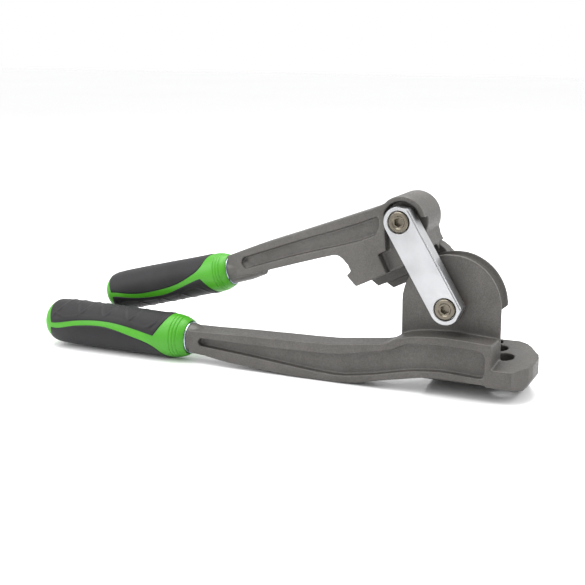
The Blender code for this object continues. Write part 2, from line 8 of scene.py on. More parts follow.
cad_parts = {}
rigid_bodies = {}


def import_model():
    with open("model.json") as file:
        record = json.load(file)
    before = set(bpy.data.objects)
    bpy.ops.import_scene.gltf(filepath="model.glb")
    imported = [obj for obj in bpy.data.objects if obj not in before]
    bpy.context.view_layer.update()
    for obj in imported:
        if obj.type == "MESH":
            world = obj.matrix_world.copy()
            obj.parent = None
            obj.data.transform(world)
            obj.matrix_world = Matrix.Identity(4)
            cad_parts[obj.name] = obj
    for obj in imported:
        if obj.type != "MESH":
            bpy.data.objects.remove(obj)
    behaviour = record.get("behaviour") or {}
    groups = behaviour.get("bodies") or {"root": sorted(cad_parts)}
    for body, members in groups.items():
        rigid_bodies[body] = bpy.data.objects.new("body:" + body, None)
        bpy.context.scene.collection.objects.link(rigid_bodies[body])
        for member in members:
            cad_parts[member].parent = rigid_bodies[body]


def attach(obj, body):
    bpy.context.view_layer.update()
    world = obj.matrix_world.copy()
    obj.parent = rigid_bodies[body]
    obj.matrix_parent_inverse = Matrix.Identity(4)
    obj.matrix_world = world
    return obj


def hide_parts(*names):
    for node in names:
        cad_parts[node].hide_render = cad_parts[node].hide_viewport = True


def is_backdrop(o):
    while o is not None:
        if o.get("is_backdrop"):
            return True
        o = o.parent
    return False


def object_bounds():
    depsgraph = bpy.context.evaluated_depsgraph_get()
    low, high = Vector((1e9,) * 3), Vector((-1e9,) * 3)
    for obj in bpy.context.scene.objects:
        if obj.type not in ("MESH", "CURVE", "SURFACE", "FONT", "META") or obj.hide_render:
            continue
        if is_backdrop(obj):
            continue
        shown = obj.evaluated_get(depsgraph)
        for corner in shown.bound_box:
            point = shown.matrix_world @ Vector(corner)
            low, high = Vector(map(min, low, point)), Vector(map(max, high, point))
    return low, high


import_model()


def plain(v):
    """Numbers of a nested box as plain lists."""
    try:
        return [plain(c) for c in v]
    except TypeError:
        return float(v)


BOX_BEFORE = plain(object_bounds())

# ------------------------------------------------------------------ driving dimensions
MM = 1.0                  # shapes are cut in millimetres and brought to metres at the end
FORMER_X = 96.07          # former axis from the middle of the tool
FORMER_Z = 42.17          # former axis above the ground
FRONT_Y = -14.845         # front face of the link
GAP = 0.3                 # clearance kept between touching pieces

R1, R2, R3 = 25.0, 20.0, 16.0            # bend radii to the tube centre line
TUBE1, TUBE2, TUBE3 = 10.0, 8.0, 6.4     # tube sizes of the three grooves
V_DISC = 9.3                             # front face of the former
V_G1, V_G2, V_G3 = 15.75, 26.2, 34.25     # groove centres
V_LIP1, V_LIP2, V_BACK = 22.0, 30.6, 38.5
V_HF, V_HB = -3.5, 10.6                  # frame handle front and back
V_UF, V_UB = 4.0, 28.5                   # lever head front and back
LAND = 1.2                               # former lip to shoe land
SINK = 0.3                               # tube centre line outside the lip radius

LINK_T = 6.4
LINK_W = 15.6
PIN_C = (-24.1, 40.4)                    # upper pivot from the former axis
HEAD_R, HEAD_BORE_R = 5.05, 5.4
SHOULDER_R, BUSH_RI, BUSH_RO, LINK_BORE_R = 3.0, 3.25, 4.1, 4.4
THREAD_R, THREAD_BORE_R = 2.6, 2.9

TN = math.radians(25.95)                 # direction of the shoe lands


# ------------------------------------------------------------------ placing
def P(x, v, w):
    return Vector(((x + FORMER_X) * MM, (v + FRONT_Y) * MM, (w + FORMER_Z) * MM))


def tn(t, n):
    """Point of the shoe frame: t along the lands, n away from the former."""
    return (math.cos(TN) * t - math.sin(TN) * n, math.sin(TN) * t + math.cos(TN) * n)



PARTS = bpy.data.collections.new("looks")
CUTS = bpy.data.collections.new("looks_cutters")
bpy.context.scene.collection.children.link(PARTS)
bpy.context.scene.collection.children.link(CUTS)


# ------------------------------------------------------------------ materials
def new_mat(name):
    m = bpy.data.materials.new(name)
    m.use_nodes = True
    nt = m.node_tree
    b = nt.nodes["Principled BSDF"]
    tc = nt.nodes.new("ShaderNodeTexCoord")
    return m, nt, b, tc.outputs["Object"]


def noise(nt, co, scale, detail=3.0, rough=0.5):
    n = nt.nodes.new("ShaderNodeTexNoise")
    n.inputs["Scale"].default_value = scale
    n.inputs["Detail"].default_value = detail
    n.inputs["Roughness"].default_value = rough
    nt.links.new(co, n.inputs["Vector"])
    return n.outputs["Fac"]


def ramp(nt, fac, stops):
    r = nt.nodes.new("ShaderNodeValToRGB")
    els = r.color_ramp.elements
    els[0].position, els[0].color = stops[0][0], (*stops[0][1], 1)
    els[1].position, els[1].color = stops[-1][0], (*stops[-1][1], 1)
    for p, c in stops[1:-1]:
        e = els.new(p)
        e.color = (*c, 1)
    nt.links.new(fac, r.inputs["Fac"])
    return r.outputs["Color"]


def spread(nt, fac, lo, hi):
    m = nt.nodes.new("ShaderNodeMapRange")
    m.inputs["From Min"].default_value = 0.3
    m.inputs["From Max"].default_value = 0.7
    m.inputs["To Min"].default_value = lo
    m.inputs["To Max"].default_value = hi
    nt.links.new(fac, m.inputs["Value"])
    return m.outputs["Result"]


def bump(nt, height, distance, strength=1.0, normal=None):
    b = nt.nodes.new("ShaderNodeBump")
    b.inputs["Distance"].default_value = distance
    b.inputs["Strength"].default_value = strength
    nt.links.new(height, b.inputs["Height"])
    if normal is not None:
        nt.links.new(normal, b.inputs["Normal"])
    return b.outputs["Normal"]


def soft_edge(nt, radius):
    n = nt.nodes.new("ShaderNodeBevel")
    n.samples = 6
    n.inputs["Radius"].default_value = radius
    return n.outputs["Normal"]


def casting_mat():
    """Bead-blasted die casting: fine pits, faint warm and dark clouds."""
    m, nt, b, co = new_mat("casting_blasted")
    cloud = noise(nt, co, 38.0, 4.0, 0.6)
    grain = noise(nt, co, 2100.0, 2.0, 0.6)
    mix = nt.nodes.new("ShaderNodeMix")
    mix.data_type = 'RGBA'
    mix.blend_type = 'OVERLAY'
    mix.inputs["Factor"].default_value = 0.55
    nt.links.new(ramp(nt, cloud, [(0.30, (0.064, 0.060, 0.055)), (0.72, (0.097, 0.092, 0.086))]), mix.inputs["A"])
    nt.links.new(ramp(nt, grain, [(0.28, (0.28, 0.28, 0.28)), (0.5, (0.5, 0.5, 0.5)), (0.75, (0.74, 0.74, 0.73))]),
                 mix.inputs["B"])
    nt.links.new(mix.outputs["Result"], b.inputs["Base Color"])
    b.inputs["Metallic"].default_value = 0.35
    nt.links.new(spread(nt, noise(nt, co, 900.0, 2.0), 0.42, 0.58), b.inputs["Roughness"])
    n = bump(nt, noise(nt, co, 60.0, 2.0), 0.00012, 0.35)
    n = bump(nt, grain, 0.00007, 0.8, n)
    nt.links.new(n, b.inputs["Normal"])
    return m


def plate_mat(name, colour, rough, streak=(1, 1, 1), grime=0.0):
    """Plated metal with fine drawn lines."""
    m, nt, b, co = new_mat(name)
    mp = nt.nodes.new("ShaderNodeMapping")
    mp.inputs["Scale"].default_value = streak
    nt.links.new(co, mp.inputs["Vector"])
    lines = noise(nt, mp.outputs["Vector"], 900.0, 3.0, 0.6)
    cloud = noise(nt, co, 90.0, 3.0)
    dark = tuple(c * (0.84 - grime) for c in colour)
    nt.links.new(ramp(nt, cloud, [(0.3, dark), (0.65, colour)]), b.inputs["Base Color"])
    b.inputs["Metallic"].default_value = 1.0
    nt.links.new(spread(nt, lines, rough * 0.8, rough * 1.3), b.inputs["Roughness"])
    nt.links.new(bump(nt, lines, 0.00002, 0.5, soft_edge(nt, 0.00025)), b.inputs["Normal"])
    return m


def green_mat():
    m, nt, b, co = new_mat("green_moulding")
    cloud = noise(nt, co, 55.0, 3.0)
    nt.links.new(ramp(nt, cloud, [(0.3, (0.042, 0.245, 0.008)), (0.7, (0.056, 0.29, 0.011))]), b.inputs["Base Color"])
    grain = noise(nt, co, 1500.0, 2.0)
    nt.links.new(spread(nt, grain, 0.34, 0.46), b.inputs["Roughness"])
    b.inputs["Specular IOR Level"].default_value = 0.35
    b.inputs["Subsurface Weight"].default_value = 0.06
    b.inputs["Subsurface Radius"].default_value = (0.0004, 0.0008, 0.0003)
    nt.links.new(bump(nt, grain, 0.00003, 0.5), b.inputs["Normal"])
    return m


def black_mat():
    m, nt, b, co = new_mat("black_elastomer")
    cloud = noise(nt, co, 70.0, 3.0)
    grain = noise(nt, co, 1900.0, 3.0, 0.65)
    nt.links.new(ramp(nt, cloud, [(0.3, (0.0060, 0.0056, 0.0064)), (0.7, (0.0105, 0.0100, 0.0115))]), b.inputs["Base Color"])
    nt.links.new(spread(nt, grain, 0.46, 0.62), b.inputs["Roughness"])
    b.inputs["Specular IOR Level"].default_value = 0.24
    b.inputs["Sheen Weight"].default_value = 0.06
    b.inputs["Sheen Roughness"].default_value = 0.5
    nt.links.new(bump(nt, grain, 0.00006, 0.6), b.inputs["Normal"])
    return m


MATS = {
    "casting": casting_mat(),
    "plate": plate_mat("plate_satin", (0.47, 0.475, 0.485), 0.36, (1.0, 1.0, 9.0)),
    "screw": plate_mat("screw_nickel", (0.165, 0.146, 0.116), 0.30),
    "bronze": plate_mat("bush_bronze", (0.50, 0.34, 0.16), 0.42),
    "tube": plate_mat("tube_plated", (0.40, 0.47, 0.52), 0.25, (6.0, 1.0, 1.0)),
    "green": green_mat(),
    "black": black_mat(),
}


def put(ob, where):
    for c in list(ob.users_collection):
        c.objects.unlink(ob)
    where.objects.link(ob)
    if where is CUTS:
        ob.hide_render = True
        ob.display_type = 'WIRE'
    return ob


def mesh_object(name, mesh, where, mat=None):
    ob = bpy.data.objects.new(("vis_" + name) if where is PARTS else ("cut_" + name), mesh)
    put(ob, where)
    if mat is not None:
        mesh.materials.clear()
        mesh.materials.append(MATS[mat])
    return ob


def from_curve(cob, name, where, mat=None):
    """The evaluated mesh of a curve or modified object, welded, in world space."""
    bpy.context.view_layer.update()
    dg = bpy.context.evaluated_depsgraph_get()
    me = bpy.data.meshes.new_from_object(cob.evaluated_get(dg))
    me.transform(cob.matrix_world)
    bm = bmesh.new()
    bm.from_mesh(me)
    bmesh.ops.remove_doubles(bm, verts=bm.verts, dist=1e-4)
    bmesh.ops.recalc_face_normals(bm, faces=bm.faces)
    bm.to_mesh(me)
    bm.free()
    bpy.data.objects.remove(cob, do_unlink=True)
    me.name = name
    return mesh_object(name, me, where, mat)


def plate(name, pts, v0, v1, where=CUTS, mat=None):
    """A flat outline in X, W extruded from v0 to v1."""
    cu = bpy.data.curves.new(name, 'CURVE')
    cu.dimensions = '2D'
    cu.fill_mode = 'BOTH'
    cu.extrude = abs(v1 - v0) / 2 * MM
    sp = cu.splines.new('POLY')
    sp.points.add(len(pts) - 1)
    for i, (x, w) in enumerate(pts):
        sp.points[i].co = (x * MM, w * MM, 0, 1)
    sp.use_cyclic_u = True
    ob = bpy.data.objects.new(name, cu)
    put(ob, CUTS)
    ob.rotation_euler = (math.pi / 2, 0, 0)
    ob.location = P(0, (v0 + v1) / 2, 0)
    return from_curve(ob, name, where, mat)


def slab(name, pts, w0, w1, where=CUTS):
    """A flat outline in X, V extruded from w0 to w1."""
    cu = bpy.data.curves.new(name, 'CURVE')
    cu.dimensions = '2D'
    cu.fill_mode = 'BOTH'
    cu.extrude = abs(w1 - w0) / 2 * MM
    sp = cu.splines.new('POLY')
    sp.points.add(len(pts) - 1)
    for i, (x, v) in enumerate(pts):
        sp.points[i].co = (x * MM, v * MM, 0, 1)
    sp.use_cyclic_u = True
    ob = bpy.data.objects.new(name, cu)
    put(ob, CUTS)
    ob.location = P(0, 0, (w0 + w1) / 2)
    return from_curve(ob, name, where)


def end_plate(name, pts, x0, x1, where=CUTS):
    """A flat outline in V, W extruded from x0 to x1."""
    cu = bpy.data.curves.new(name, 'CURVE')
    cu.dimensions = '2D'
    cu.fill_mode = 'BOTH'
    cu.extrude = abs(x1 - x0) / 2 * MM
    sp = cu.splines.new('POLY')
    sp.points.add(len(pts) - 1)
    for i, (v, w) in enumerate(pts):
        sp.points[i].co = (v * MM, w * MM, 0, 1)
    sp.use_cyclic_u = True
    ob = bpy.data.objects.new(name, cu)
    put(ob, CUTS)
    ob.matrix_world = Matrix.Translation(P((x0 + x1) / 2, 0, 0)) @ Matrix(
        ((0, 0, 1, 0), (1, 0, 0, 0), (0, 1, 0, 0), (0, 0, 0, 1)))
    return from_curve(ob, name, where)


def turned(name, profile, origin, axis, where=CUTS, mat=None, steps=48, angle=360.0,
           start=0.0):
    """A profile of (radius, height) pairs, top to bottom, turned about an axis."""
    me = bpy.data.meshes.new(name)
    vs = [(r * MM * math.cos(start), r * MM * math.sin(start), h * MM) for r, h in profile]
    me.from_pydata(vs, [(i, i + 1) for i in range(len(vs) - 1)], [])
    ob = bpy.data.objects.new(name, me)
    put(ob, CUTS)
    z = Vector(axis).normalized()
    ob.matrix_world = Matrix.Translation(origin) @ z.to_track_quat('Z', 'Y').to_matrix().to_4x4()
    m = ob.modifiers.new("turn", 'SCREW')
    m.axis = 'Z'
    m.angle = math.radians(angle)
    m.steps = steps
    m.render_steps = steps
    m.use_merge_vertices = True
    m.merge_threshold = 1e-4
    return from_curve(ob, name, where, mat)


def rod(name, r, p0, p1, where=CUTS, mat=None, n=48, r2=None):
    """A straight round bar from p0 to p1."""
    bm = bmesh.new()
    d = p1 - p0
    bmesh.ops.create_cone(bm, cap_ends=True, segments=n, radius1=r * MM,
                          radius2=(r if r2 is None else r2) * MM, depth=d.length)
    rot = d.normalized().to_track_quat('Z', 'Y').to_matrix().to_4x4()
    bmesh.ops.transform(bm, matrix=Matrix.Translation((p0 + p1) / 2) @ rot, verts=bm.verts)
    me = bpy.data.meshes.new(name)
    bm.to_mesh(me)
    bm.free()
    return mesh_object(name, me, where, mat)


def box(name, lo, hi, where=CUTS, mat=None):
    bm = bmesh.new()
    a, b = P(*lo), P(*hi)
    bmesh.ops.create_cube(bm, size=1.0)
    bmesh.ops.scale(bm, vec=b - a, verts=bm.verts)
    bmesh.ops.translate(bm, vec=(a + b) / 2, verts=bm.verts)
    me = bpy.data.meshes.new(name)
    bm.to_mesh(me)
    bm.free()
    return mesh_object(name, me, where, mat)


def boolean(ob, other, how):
    m = ob.modifiers.new(how.lower(), 'BOOLEAN')
    m.operation = how
    m.solver = 'EXACT'
    m.object = other
    return m


def cut(ob, *others):
    for o in others:
        boolean(ob, o, 'DIFFERENCE')


def join(ob, *others):
    for o in others:
        boolean(ob, o, 'UNION')


def faults(bm):
    return sum(1 for e in bm.edges if len(e.link_faces) != 2)


def bake(ob, dist=0.002):
    """Applies the modifiers and welds stray points of the joins where that keeps it closed."""
    bpy.context.view_layer.update()
    dg = bpy.context.evaluated_depsgraph_get()
    me = bpy.data.meshes.new_from_object(ob.evaluated_get(dg))
    ob.modifiers.clear()
    raw = bmesh.new()
    raw.from_mesh(me)
    for d, tidy in ((dist, True), (dist, False), (0.0005, False), (0.00005, False)):
        bm = raw.copy()
        bmesh.ops.remove_doubles(bm, verts=bm.verts, dist=d * MM)
        if tidy:
            bmesh.ops.dissolve_degenerate(bm, edges=bm.edges, dist=d * MM)
        if faults(bm) == 0:
            bm.to_mesh(me)
            bm.free()
            break
        bm.free()
    raw.free()
    ob.data = me
    return ob


def bevel(ob, width, angle=40.0, segments=2):
    m = ob.modifiers.new("edge", 'BEVEL')
    m.width = width * MM
    m.segments = segments
    m.limit_method = 'ANGLE'
    m.angle_limit = math.radians(angle)
    m.use_clamp_overlap = True
    return m


def smooth(ob, angle=35.0):
    ob.data.shade_smooth()
    ob.data.set_sharp_from_angle(angle=math.radians(angle))


def arc(cx, cw, r, a0, a1, n):
    return [(cx + r * math.cos(math.radians(a0 + (a1 - a0) * i / n)),
             cw + r * math.sin(math.radians(a0 + (a1 - a0) * i / n))) for i in range(n + 1)]


def flow(pts, n=4):
    """A smooth line through a few guide points."""
    out = []
    q = [pts[0]] + list(pts) + [pts[-1]]
    for i in range(1, len(q) - 2):
        p0, p1, p2, p3 = q[i - 1], q[i], q[i + 1], q[i + 2]
        for k in range(n):
            s = k / n
            out.append(tuple(0.5 * ((2 * p1[j]) + (-p0[j] + p2[j]) * s
                                    + (2 * p0[j] - 5 * p1[j] + 4 * p2[j] - p3[j]) * s * s
                                    + (-p0[j] + 3 * p1[j] - 3 * p2[j] + p3[j]) * s ** 3)
                             for j in (0, 1)))
    out.append(pts[-1])
    return out


def tombstone(r, low, n=36):
    """Round top of radius r on the former axis with straight sides down to low."""
    return arc(0, 0, r, 0, 180, n) + [(-r, low), (r, low)]


def channel(name, r, minor, v, low):
    """Round bar bent half way round the former with a straight leg down each side."""
    cu = bpy.data.curves.new(name, 'CURVE')
    cu.dimensions = '3D'
    cu.bevel_depth = minor * MM
    cu.bevel_resolution = 7
    cu.use_fill_caps = True
    path = [(-r, -48.0)] + arc(0, 0, r, 180, 0, 64) + [(r, low)]
    sp = cu.splines.new('POLY')
    sp.points.add(len(path) - 1)
    for i, (x, w) in enumerate(path):
        sp.points[i].co = (*P(x, v, w), 1)
    ob = bpy.data.objects.new(name, cu)
    put(ob, CUTS)
    return from_curve(ob, name, CUTS)


# ================================================================== frame casting
HB = 42.1                       # ground below the former axis
top_edge = flow([(-139.4, -24.5), (-128, -24.3), (-106, -23.6), (-81, -23.1), (-60, -22.6),
                 (-48, -21.4), (-36, -20.1), (-29, -19.0), (-24.5, -16.8), (-19.5, -15.0),
                 (-12, -13.6), (0, -12.9), (12, -13.3), (24.4, -14.1)], 3)
low_edge = flow([(24.4, -34.3), (12, -33.8), (0, -33.5), (-10.3, -34.2), (-20.6, -36.2),
                 (-31, -38.2), (-44, -41.0), (-56, -42.05), (-73, -42.1), (-86, -41.5),
                 (-115, -39.5), (-130, -37.4), (-139.4, -36.6)], 3)
frame = plate("former_frame", top_edge + low_edge, V_HF, V_HB, PARTS, "casting")
bevel(frame, 1.1, 50, 1)
bake(frame)

# I-section pockets, front and back
pocket = flow([(-132.6, -28.2), (-98, -28.4), (-65, -28.2), (-52, -27.3), (-41, -25.4), (-31, -23.2),
               (-25.5, -21.9), (-21, -19.6), (-17, -18.2), (-8, -17.3), (2, -17.0), (12, -17.4),
               (18.0, -17.8)], 2) + [(20.4, -18.8), (21.2, -21.0), (21.2, -28.5), (20.4, -30.6)] \
    + flow([(18.0, -30.9), (8, -30.4), (0, -30.0), (-15.5, -31.4), (-31, -34.8), (-45, -37.3), (-56, -38.3),
            (-74, -37.2), (-98, -35.0), (-120, -33.2), (-132.6, -32.3)], 2) + [(-133.9, -30.3)]
p_front = plate("pocket_front", pocket, V_HF - 3, V_HF + 3.4)
p_back = plate("pocket_back", [p for p in pocket if p[0] < -31.5], V_HB - 3.4, V_HB + 3)
cut(frame, p_front)
bake(frame)
cut(frame, p_back)
bake(frame)

# the former: three stepped bodies with straight sides
low = -26.0
body1 = plate("former_step_1", tombstone(R1, low, 96), V_DISC, V_LIP1)
body2 = plate("former_step_2", tombstone(R2, low, 80), V_LIP1 - 1.0, V_LIP2)
body3 = plate("former_step_3", tombstone(R3, low, 72), V_LIP2 - 1.0, V_BACK)
join(body1, body2, body3)
# round-bottomed grooves that run on as straight seats through the hook
GROOVES = [channel("groove_%d" % (i + 1), r + SINK, d / 2, v, -60.0)
           for i, (r, d, v) in enumerate(((R1, TUBE1, V_G1), (R2, TUBE2, V_G2), (R3, TUBE3, V_G3)))]
# the back lip of the first groove stops where the hook side becomes straight
lip_end = plate("lip_end", [(R1 - 4.9, -3.9), (R1 + 1.5, 1.3), (R1 + 1.5, -24), (R1 - 4.9, -24)],
                V_G1 + 0.2, V_LIP1 + 0.1)
lip_end_2 = plate("lip_end_2", [(R2 - 3.9, -3.5), (R2 + 1.0, 0.5), (R2 + 1.0, -22), (R2 - 3.9, -22)],
                  V_G2 + 0.2, V_LIP2 + 0.05)
cut(body1, lip_end)
bake(body1)
cut(body1, lip_end_2)
bake(body1)

# foot and hook block: slanted top that rises to the back, underside that runs down to the back
foot = plate("hook_block",
             [(-14.0, -15.2), (24.6, -15.2), (36.6, -15.2), (41.0, -16.6), (45.2, -21.2), (46.4, -24.4), (45.9, -27.6),
                (41.6, -31.4), (33.6, -42.6), (33.6, -60.0), (-14.0, -60.0)], V_HF - 0.12, V_BACK + 0.14)
ground_cut = end_plate("foot_underside",
                       [(V_HF - 5, -34.8 + 1.25), (V_HF, -34.8), (27.5, -HB), (V_BACK + 5, -HB),
                        (V_BACK + 5, -80), (V_HF - 5, -80)], -40, 80)
slope_cut = end_plate("hook_top_slope",
                      [(V_HF - 5, -26.6), (V_HF, -26.1), (V_BACK + 5, -21.1), (V_BACK + 5, 10),
                       (V_HF - 5, 10)], -45, 80)
cut(foot, ground_cut)
bake(foot)
cut(foot, slope_cut)
bake(foot)
plan = slab("hook_plan", [(-30, 5.5), (21.9, 5.5), (22.1, -10), (33.9, -10), (34.2, -3.6), (35.4, -1.6), (40.2, 6.5), (41.3, 9.5), (41.5, 13),
                          (41.4, 20), (40.4, 23.5), (34.0, 33.5), (31.5, 36.2), (27.5, V_BACK + 0.2), (20, 50),
                          (-30, 50)], -90, 20)
boolean(foot, plan, 'INTERSECT')
bake(foot)
bevel(foot, 0.8, 25, 1)
bake(foot)
join(body1, foot)
bake(body1)
for groove in GROOVES:
    cut(body1, groove)
    bake(body1)
join(frame, body1)
bake(frame)

# round neck and tang on the grip axis
LG0 = P(-139.0, (V_HF + V_HB) / 2, -30.25)      # neck end of the grip axis
LG1 = P(-236.9, (V_HF + V_HB) / 2, -29.10)      # butt
LGD = (LG1 - LG0).normalized()


def along(o, d, s):
    return o + d * (s * MM)


neck = turned("lower_neck", [(0, 12.0), (6.6, 12.0), (6.6, 9.9), (7.9, 9.4), (7.9, 5.0), (8.0, 1.0),
                             (7.3, -2.2), (5.9, -4.6), (0, -4.6)],
              LG0, LGD, steps=64)
tang = rod("lower_tang", 6.6, along(LG0, LGD, 6), along(LG0, LGD, 79.5), n=48)
join(neck, tang)
bake(neck)
join(frame, neck)
bake(frame)
# pivot bore with a counterbore for the lock nut at the back
bore = rod("lower_pivot_bore", THREAD_BORE_R, P(0, 0, 0), P(0, 50, 0), n=48)
cbore = rod("lower_nut_bore", 6.2, P(0, 32.0, 0), P(0, 45, 0), n=64)
join(bore, cbore)
bake(bore)
cut(frame, bore)
bake(frame)

# ================================================================== lever casting
px, pw = PIN_C
lev_top = [(-127.6, 12.3), (-118.9, 15.9), (-106.9, 20.7), (-89.3, 27.0), (-66.6, 35.3), (-47.4, 42.4),
           (-39.4, 45.3), (-33.0, 48.4)]
head = arc(px, pw, 12.0, 128, -25, 48)
right = [tn(3.6, 36.2), tn(3.0, 33.6), tn(3.2, 31.0), tn(2.6, 29.2), tn(1.8, R1 + LAND + 0.9), tn(0.8, R1 + LAND)]
left = [tn(-40.4, R1 + LAND), tn(-43.2, 32.9), tn(-39.9, 34.2)]
lev_low = flow([(-52.6, 16.2), (-56.2, 19.3), (-59.4, 20.3), (-64, 19.3), (-80.6, 14.2), (-98.9, 8.4),
                (-112, 4.2), (-125.0, 0.1)], 3)
lever = plate("shoe_lever", lev_top + head + right + left + lev_low, V_UF, V_UB + 4.0, PARTS, "casting")
back_wedge = slab("lever_back_slope", [(60, V_UB), (-45, V_UB), (-160, V_UB + 4.4), (-160, 60), (60, 60)], -40, 90)
step_back = plate("shoe_step_back", [tn(-70, 10), tn(30, 10), tn(30, 30.6), tn(-70, 30.6)], V_LIP1 - 0.5, 60)
cut(lever, back_wedge)
bake(lever)
cut(lever, step_back)
bake(lever)
bevel(lever, 0.9, 50, 1)
bake(lever)
# second and third step of the shoe
s2 = plate("shoe_step_2", [tn(-36.9, R2 + LAND), tn(1.6, R2 + LAND), tn(4.4, R2 + LAND + 2.3), tn(4.2, 26.0),
                           tn(2.2, 29.5), tn(-1.3, 33.0), tn(-38.7, 32.6), tn(-39.6, R2 + LAND + 4.9)],
           V_LIP1 + 0.4, V_LIP2)
s3 = plate("shoe_step_3", [tn(-33.6, R3 + LAND), tn(1.4, R3 + LAND), tn(2.4, R3 + LAND + 1.2), tn(1.9, 23.7),
                           tn(-0.7, 27.4), tn(-2.0, 30.6), tn(-34.1, 30.6), tn(-35.8, R3 + LAND + 3.6)],
           V_LIP2 + 0.4, V_BACK)
web23 = plate("shoe_web", [tn(-34.9, R2 + LAND + 1.5), tn(-1.1, R2 + LAND + 1.5), tn(-2.9, 29.9),
                           tn(-33.3, 29.9)], V_LIP2 - 3.0, V_LIP2 + 3.0)
web12 = plate("shoe_web_2", [tn(-38.1, R1 + LAND + 1.5), tn(-0.4, R1 + LAND + 1.5), tn(-1.9, 31.9),
                             tn(-37.3, 31.9)], V_LIP1 - 3.0, V_LIP1 + 3.0)
join(s2, web23)
bake(s2)
join(s2, s3)
bake(s2)
join(s2, web12)
bake(s2)
join(lever, s2)
bake(lever)
# straight grooves of the shoe
for i, (r, d, v) in enumerate(((R1, TUBE1, V_G1), (R2, TUBE2, V_G2), (R3, TUBE3, V_G3))):
    a, b = tn(-70, r), tn(30, r)
    g = rod("shoe_groove_%d" % (i + 1), d / 2, P(a[0], v, a[1]), P(b[0], v, b[1]), n=48)
    cut(lever, g)
# the handle's front face runs back towards the grip
SL0, SLK = -43.0, 0.172


def slope_v(x, off=0.0):
    return V_UF + off + max(0.0, (SL0 - x) * SLK)


wedge = slab("lever_front_slope", [(60, V_UF + 0.06), (SL0, V_UF + 0.06), (-160, slope_v(-160, 0.06)), (-160, -20),
                                   (60, -20)], -40, 90)
cut(lever, wedge)
bake(lever)
# pocket of the handle, following the slope
pk = flow([(-117.0, 12.6), (-98, 19.5), (-77.7, 26.9), (-61.3, 32.4), (-47, 37.6), (-36.6, 41.8)], 2) \
    + [(-35.6, 40.4), (-35.6, 37.0), (-37.0, 32.8)] \
    + flow([(-47.0, 28.6), (-61.3, 24.2), (-77.7, 19.4), (-98, 12.8), (-115.6, 6.8)], 2) + [(-118.2, 9.6)]
pk_prism = plate("lever_pocket", pk, -20, 60)
pk_wedge = slab("lever_pocket_floor", [(0, V_UF + 3.0), (SL0, V_UF + 3.0), (-160, slope_v(-160, 3.0)), (-160, -25), (0, -25)],
                -50, 95)
boolean(pk_prism, pk_wedge, 'INTERSECT')
bake(pk_prism)
pk_back = plate("lever_pocket_back", [p for p in pk if p[0] < -47], V_UB - 1.2, V_UB + 14)
cut(lever, pk_prism, pk_back)
bake(lever)
# room for the link: a round recess and the lowered face below it
rec = plate("link_recess", arc(px, pw, 9.6, 14, 160, 40)
            + [tn(-17.5, 36.6), tn(-22.2, 36.6), tn(-21.6, 10.0), tn(30.0, 10.0), (px + 22, pw + 4.0)],
            -20, V_DISC - 0.2)
cut(lever, rec)
bake(lever)
# neck and tang
V_UG = 24.5
UG0 = P(-124.9, V_UG, 4.3)
UG1 = P(-208.4, V_UG, -17.1)
UGD = (UG1 - UG0).normalized()
uneck = turned("upper_neck", [(0, 12.0), (6.0, 12.0), (6.0, 8.9), (7.1, 8.4), (7.1, 4.0), (7.2, -2.0),
                              (6.9, -9.0), (5.6, -17.0), (0, -17.0)],
               UG0, UGD, steps=64)
utang = rod("upper_tang", 6.0, along(UG0, UGD, 6), along(UG0, UGD, 70.7), n=48)
join(uneck, utang)
bake(uneck)
join(lever, uneck)
bake(lever)
ubore = rod("upper_pivot_bore", THREAD_BORE_R, P(px, -5, pw), P(px, 50, pw), n=48)
ucb = rod("upper_nut_bore", 6.2, P(px, 22.2, pw), P(px, 45, pw), n=64)
join(ubore, ucb)
bake(ubore)
cut(lever, ubore)
bake(lever)

# ================================================================== pivots
for nm, (cx, cw), v_end, v_nut in (("lower", (0, 0), 38.0, 32.0), ("upper", (px, pw), 28.2, 22.2)):
    o = P(cx, 0, cw)
    # heights run along -Y (towards the front), so a height h is at V = -h
    screw = turned(nm + "_pivot_screw",
                   [(0, -0.2), (2.75, -0.2), (3.35, 0.35), (HEAD_R - 0.45, 0.35), (HEAD_R, -0.1), (HEAD_R, -2.2), (SHOULDER_R, -2.2),
                    (SHOULDER_R, -(V_DISC - 0.3)), (THREAD_R, -(V_DISC - 0.3)), (THREAD_R, -v_end + 0.5),
                    (THREAD_R - 0.5, -v_end), (0, -v_end)],
                   o, (0, -1, 0), PARTS, "screw", steps=72)
    hexs = rod(nm + "_hex_socket", 2.0 / math.cos(math.pi / 6), P(cx, -3, cw), P(cx, 2.6, cw), n=6)
    cut(screw, hexs)
    bake(screw)
    smooth(screw)
    bush = turned(nm + "_pivot_bush",
                  [(BUSH_RI, -2.8), (BUSH_RO, -2.8), (BUSH_RO, -6.1), (BUSH_RI, -6.1), (BUSH_RI, -2.8)],
                  o, (0, -1, 0), PARTS, "bronze", steps=72)
    smooth(bush)
    w1 = -(LINK_T + GAP)
    w2 = -(V_DISC - 0.3 - (0.0 if nm == "lower" else 0.2))
    wash = turned(nm + "_thrust_washer",
                  [(BUSH_RI, w1), (6.6, w1), (6.6, w2), (BUSH_RI, w2), (BUSH_RI, w1)],
                  o, (0, -1, 0), PARTS, "bronze", steps=72)
    smooth(wash)
    flat = turned(nm + "_nut_washer",
                  [(2.85, -(v_nut + 0.3)), (5.0, -(v_nut + 0.3)), (5.0, -(v_nut + 1.3)), (2.85, -(v_nut + 1.3)),
                   (2.85, -(v_nut + 0.3))], o, (0, -1, 0), PARTS, "plate", steps=64)
    smooth(flat)
    nut = rod(nm + "_lock_nut", 4.9, P(cx, v_nut + 1.6, cw), P(cx, v_nut + 5.2, cw), PARTS, "plate", n=6)
    nh = rod(nm + "_nut_hole", 2.85, P(cx, v_nut, cw), P(cx, v_nut + 8, cw), n=64)
    cut(nut, nh)
    bake(nut)
    smooth(nut)



